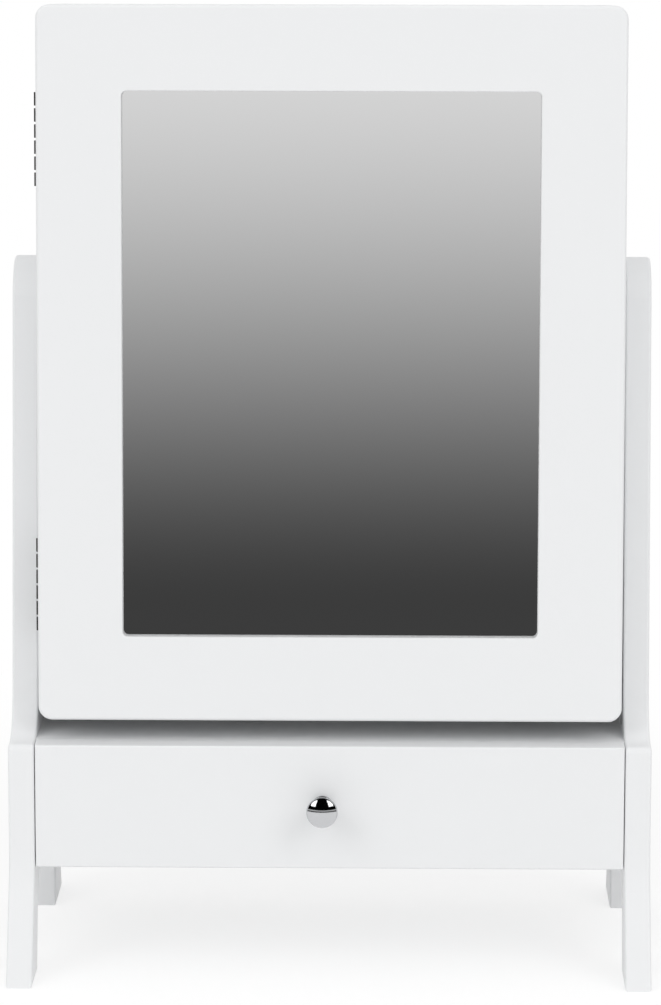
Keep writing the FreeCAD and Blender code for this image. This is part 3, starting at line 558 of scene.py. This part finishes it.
makeLining("boxBackVelvet", (-0.156, 0.156), (0.012, 0.398), onBoxBack, "cabinet",
           "back_lining")
makeLining("doorVelvet", (-0.1192, 0.1192), (0.0488, 0.3612), onDoorBack, "door",
           "door_lining")
makeLining("drawerVelvet", (-0.158, 0.158), (-0.0625, 0.0625), onDrawerFloor, "drawer",
           "drawer_lining")
print("linings made")


# --- ring rolls ---

rolls = {
    "count": 4,
    "halfLength": 0.155,
    "radius": 0.008,
    "pitch": 0.0165,
    "wall": 0.1047,        # how far behind the door's face the rolls' tray ends
    "middle": 0.104,       # height of the rolls' axes up the box
    "endLength": 0.006,    # the velvet is gathered in over this length at each end
    "flatten": 0.0002,     # how much of its underside is pressed flat
    "endGap": 0.0001,      # from the end point to where the roll would close
    "around": 48,
}


def makeRolls():
    # each roll is a circle carried along its axis; its radius swells slowly along the length,
    # closes in an ellipse at both ends, and its underside is pressed flat
    half, end = rolls["halfLength"], rolls["endLength"]
    closing = end * (1 - np.cos(np.radians(np.linspace(4, 86, 9))))
    along = np.concatenate([closing - half, np.linspace(end - half, half - end, 90),
                            half - closing[::-1]])
    fromEnd = np.clip((half - np.abs(along)) / end, 0, 1)
    close = np.sqrt(np.clip(1 - (1 - fromEnd) ** 2, 0, 1)) ** 0.8
    angle = np.linspace(0, 2 * np.pi, rolls["around"], endpoint=False)
    quads, capStart, capEnd = closedRings(len(along), rolls["around"])
    allPoints, allFaces = [], []
    for number in range(rolls["count"]):
        swell = 0.985 + 0.010 * np.sin(along * 61 + number * 1.7) \
            + 0.005 * np.sin(along * 173 + number * 2.9)
        radius = rolls["radius"] * swell * close
        back = radius[:, None] * np.cos(angle)
        up = np.maximum(radius[:, None] * np.sin(angle), -rolls["radius"] + rolls["flatten"])
        centre = rolls["wall"] - (number + 0.5) * rolls["pitch"]
        ring = np.stack([np.broadcast_to(along[:, None], back.shape), centre + back,
                         rolls["middle"] + up], axis=-1).reshape(-1, 3)
        tip = half - rolls["endGap"]
        ends = np.array([[-tip, centre, rolls["middle"]], [tip, centre, rolls["middle"]]])
        points = np.concatenate([ring, ends])
        for part in (quads, capStart, capEnd):
            allFaces += (part + len(points) * number).tolist()
        allPoints.append(points)
    return newPiece("velvetRolls", toWorld(np.concatenate(allPoints)), allFaces, blackVelvet)


ringRolls = makeRolls()
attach(ringRolls, "cabinet")
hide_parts("ring_rolls")
print("ring rolls made")


# --- stage, lights, camera ---

studio = {
    "tableRadius": 1.0,
    "tableHub": 0.02,        # radius of its innermost ring
    "tableRings": 24,
    "tableAround": 128,
    "whiteFrom": 0.34,
    "whiteTo": 0.8,
    "paper": 0.93,           # how pale the table is to the light that falls on it
    "paperShown": 0.36,      # the same as the camera sees it, with the glow added to it
    "tableGlow": 0.68,
    "ambient": 0.31,         # light from all round
    "frontLight": 0.46,      # more of it from the front
    "topLight": 0.42,        # and from above
    "lampAim": (0, 0, 0.25),
    "lampPower": 7.5,
    "lampWidth": 0.9,
    "lampHeight": 1.2,
    "lampAcross": 1.35,
    "lampFront": -1.5,
    "lampUp": 1.35,
    "floorLine": -0.085,     # reflected studio: where its tone starts to rise
    "ceilingLine": 0.057,    # and where it would be lightest
    "floorTone": 0.05,
    "ceilingTone": 0.79,
    "fallFrom": 0.038,       # above the ceiling's light it falls to black between these
    "fallTo": 0.068,
}


def backgroundRays(tree):
    # 1 for the rays that should meet a white background: straight ones and those through glass
    rays = addNode(tree, "ShaderNodeLightPath")
    direct = addNode(tree, "ShaderNodeMath", operation="MAXIMUM")
    tree.links.new(rays.outputs["Is Camera Ray"], direct.inputs[0])
    tree.links.new(rays.outputs["Is Transmission Ray"], direct.inputs[1])
    return rays, direct.outputs["Value"]


def makeTable():
    # a round white table top whose outer part melts into the white background
    count, around = studio["tableRings"], studio["tableAround"]
    angle = np.linspace(0, 2 * np.pi, around, endpoint=False)
    rings = np.linspace(studio["tableHub"], studio["tableRadius"], count)
    points = np.stack([rings[:, None] * np.cos(angle), rings[:, None] * np.sin(angle),
                       np.zeros((count, around))], axis=-1).reshape(-1, 3)
    points = np.concatenate([points, [[0, 0, 0]]])
    quads, capStart, _ = closedRings(count, around)
    mesh = bpy.data.meshes.new("table")
    mesh.from_pydata(points.tolist(), [], quads.tolist() + capStart.tolist())
    table = bpy.data.objects.new("table", mesh)
    bpy.context.scene.collection.objects.link(table)

    material = bpy.data.materials.new("tableTop")
    material.use_nodes = True
    tree = material.node_tree
    tree.nodes.clear()
    link = tree.links.new
    rays, direct = backgroundRays(tree)
    shown = addNode(tree, "ShaderNodeMath", operation="MAXIMUM")
    link(direct, shown.inputs[0])
    link(rays.outputs["Is Glossy Ray"], shown.inputs[1])
    tone = addNode(tree, "ShaderNodeMapRange")
    tone.inputs["To Min"].default_value = studio["paper"]
    tone.inputs["To Max"].default_value = studio["paperShown"]
    link(shown.outputs["Value"], tone.inputs["Value"])
    paper = addNode(tree, "ShaderNodeBsdfDiffuse")
    link(tone.outputs["Result"], paper.inputs["Color"])
    glow = addNode(tree, "ShaderNodeEmission", Color=(1, 1, 1, 1))
    glowAmount = addNode(tree, "ShaderNodeMath", operation="MULTIPLY")
    glowAmount.inputs[1].default_value = studio["tableGlow"]
    link(shown.outputs["Value"], glowAmount.inputs[0])
    link(glowAmount.outputs["Value"], glow.inputs["Strength"])
    lit = addNode(tree, "ShaderNodeAddShader")
    link(paper.outputs["BSDF"], lit.inputs[0])
    link(glow.outputs["Emission"], lit.inputs[1])
    place = addNode(tree, "ShaderNodeTexCoord")
    distance = addNode(tree, "ShaderNodeVectorMath", operation="LENGTH")
    link(place.outputs["Object"], distance.inputs[0])
    fade = addNode(tree, "ShaderNodeMapRange", interpolation_type="SMOOTHSTEP")
    fade.inputs["From Min"].default_value = studio["whiteFrom"]
    fade.inputs["From Max"].default_value = studio["whiteTo"]
    link(distance.outputs["Value"], fade.inputs["Value"])
    melt = addNode(tree, "ShaderNodeMath", operation="MULTIPLY")
    link(fade.outputs["Result"], melt.inputs[0])
    link(shown.outputs["Value"], melt.inputs[1])
    white = addNode(tree, "ShaderNodeEmission", Color=(1, 1, 1, 1), Strength=1.0)
    surface = addNode(tree, "ShaderNodeMixShader")
    link(melt.outputs["Value"], surface.inputs["Fac"])
    link(lit.outputs["Shader"], surface.inputs[1])
    link(white.outputs["Emission"], surface.inputs[2])
    out = addNode(tree, "ShaderNodeOutputMaterial")
    link(surface.outputs["Shader"], out.inputs["Surface"])
    mesh.materials.append(material)


def makeWorld():
    # white where it is seen directly, an even light on surfaces, and a dim studio in the mirror
    world = bpy.data.worlds.new("studioRoom")
    bpy.context.scene.world = world
    world.use_nodes = True
    tree = world.node_tree
    tree.nodes.clear()
    link = tree.links.new
    rays, direct = backgroundRays(tree)
    place = addNode(tree, "ShaderNodeTexCoord")
    axes = addNode(tree, "ShaderNodeSeparateXYZ")
    link(place.outputs["Generated"], axes.inputs["Vector"])
    # the studio that reflections see: one smooth rise from a dark floor line to a light ceiling
    # line, then a quick fall to black above it; both go by the height of the ray's direction
    rise = addNode(tree, "ShaderNodeMapRange", interpolation_type="SMOOTHSTEP")
    rise.inputs["From Min"].default_value = studio["floorLine"]
    rise.inputs["From Max"].default_value = studio["ceilingLine"]
    rise.inputs["To Min"].default_value = studio["floorTone"]
    rise.inputs["To Max"].default_value = studio["ceilingTone"]
    link(axes.outputs["Z"], rise.inputs["Value"])
    fall = addNode(tree, "ShaderNodeMapRange", interpolation_type="SMOOTHSTEP")
    fall.inputs["From Min"].default_value = studio["fallFrom"]
    fall.inputs["From Max"].default_value = studio["fallTo"]
    fall.inputs["To Min"].default_value = 1.0
    fall.inputs["To Max"].default_value = 0.0
    link(axes.outputs["Z"], fall.inputs["Value"])
    tone = addNode(tree, "ShaderNodeMath", operation="MULTIPLY")
    link(rise.outputs["Result"], tone.inputs[0])
    link(fall.outputs["Result"], tone.inputs[1])
    room = addNode(tree, "ShaderNodeBackground", Color=(1, 1, 1, 1))
    link(tone.outputs["Value"], room.inputs["Strength"])
    # even light, plus more from the front (half of one minus y) and a lobe from above (z squared)
    fromFront = addNode(tree, "ShaderNodeMath", operation="MULTIPLY_ADD", use_clamp=True)
    fromFront.inputs[1].default_value = -0.5
    fromFront.inputs[2].default_value = 0.5
    link(axes.outputs["Y"], fromFront.inputs[0])
    frontLevel = addNode(tree, "ShaderNodeMath", operation="MULTIPLY_ADD")
    frontLevel.inputs[1].default_value = studio["frontLight"]
    frontLevel.inputs[2].default_value = studio["ambient"]
    link(fromFront.outputs["Value"], frontLevel.inputs[0])
    upward = addNode(tree, "ShaderNodeMath", operation="MAXIMUM")
    link(axes.outputs["Z"], upward.inputs[0])
    upward.inputs[1].default_value = 0.0
    fromTop = addNode(tree, "ShaderNodeMath", operation="POWER")
    fromTop.inputs[1].default_value = 2.0
    link(upward.outputs["Value"], fromTop.inputs[0])
    total = addNode(tree, "ShaderNodeMath", operation="MULTIPLY_ADD")
    total.inputs[1].default_value = studio["topLight"]
    link(fromTop.outputs["Value"], total.inputs[0])
    link(frontLevel.outputs["Value"], total.inputs[2])
    even = addNode(tree, "ShaderNodeBackground", Color=(1, 1, 1, 1))
    link(total.outputs["Value"], even.inputs["Strength"])
    white = addNode(tree, "ShaderNodeBackground", Color=(1, 1, 1, 1), Strength=1.0)
    behind = addNode(tree, "ShaderNodeMapRange", interpolation_type="SMOOTHSTEP")
    behind.inputs["From Min"].default_value = 0.0
    behind.inputs["From Max"].default_value = 0.5
    link(axes.outputs["Y"], behind.inputs["Value"])
    reflected = addNode(tree, "ShaderNodeMixShader")
    link(behind.outputs["Result"], reflected.inputs["Fac"])
    link(room.outputs["Background"], reflected.inputs[1])
    link(white.outputs["Background"], reflected.inputs[2])
    unseen = addNode(tree, "ShaderNodeMixShader")
    link(rays.outputs["Is Glossy Ray"], unseen.inputs["Fac"])
    link(even.outputs["Background"], unseen.inputs[1])
    link(reflected.outputs["Shader"], unseen.inputs[2])
    final = addNode(tree, "ShaderNodeMixShader")
    link(direct, final.inputs["Fac"])
    link(unseen.outputs["Shader"], final.inputs[1])
    link(white.outputs["Background"], final.inputs[2])
    out = addNode(tree, "ShaderNodeOutputWorld")
    link(final.outputs["Shader"], out.inputs["Surface"])


def addLamp(name, place, target, power):
    lamp = bpy.data.lights.new(name, "AREA")
    lamp.shape = "RECTANGLE"
    lamp.size = studio["lampWidth"]
    lamp.size_y = studio["lampHeight"]
    lamp.energy = power
    holder = bpy.data.objects.new(name, lamp)
    holder.location = place
    direction = np.array(target) - np.array(place)
    level = math.hypot(direction[0], direction[1])
    holder.rotation_euler = (math.atan2(level, -direction[2]), 0,
                             math.atan2(direction[1], direction[0]) - math.pi / 2)
    bpy.context.scene.collection.objects.link(holder)


makeTable()
makeWorld()
for side, label in ((-1, "leftSoftbox"), (1, "rightSoftbox")):
    addLamp(label, (side * studio["lampAcross"], studio["lampFront"], studio["lampUp"]),
            studio["lampAim"], studio["lampPower"])

view = {
    "place": (0.0325, -2.5538, 0.6991),
    "turn": 0.748,     # degrees to the left of straight ahead
    "down": 9.683,
    "roll": 0.107,
    "focus": 4400,     # focal length in pixels of the picture
    "across": 661,     # the picture's width in pixels
    "sensor": 36,      # in millimetres
}
lens = bpy.data.cameras.new("photoCamera")
lens.sensor_fit = "HORIZONTAL"
lens.sensor_width = view["sensor"]
lens.lens = view["sensor"] * view["focus"] / view["across"]
camera = bpy.data.objects.new("photoCamera", lens)
camera.location = view["place"]
camera.rotation_euler = (Matrix.Rotation(math.radians(view["turn"]), 3, "Z")
                         @ Matrix.Rotation(math.radians(90 - view["down"]), 3, "X")
                         @ Matrix.Rotation(math.radians(view["roll"]), 3, "Z")).to_euler()
bpy.context.scene.collection.objects.link(camera)
bpy.context.scene.camera = camera
bpy.context.scene.view_settings.view_transform = "Standard"
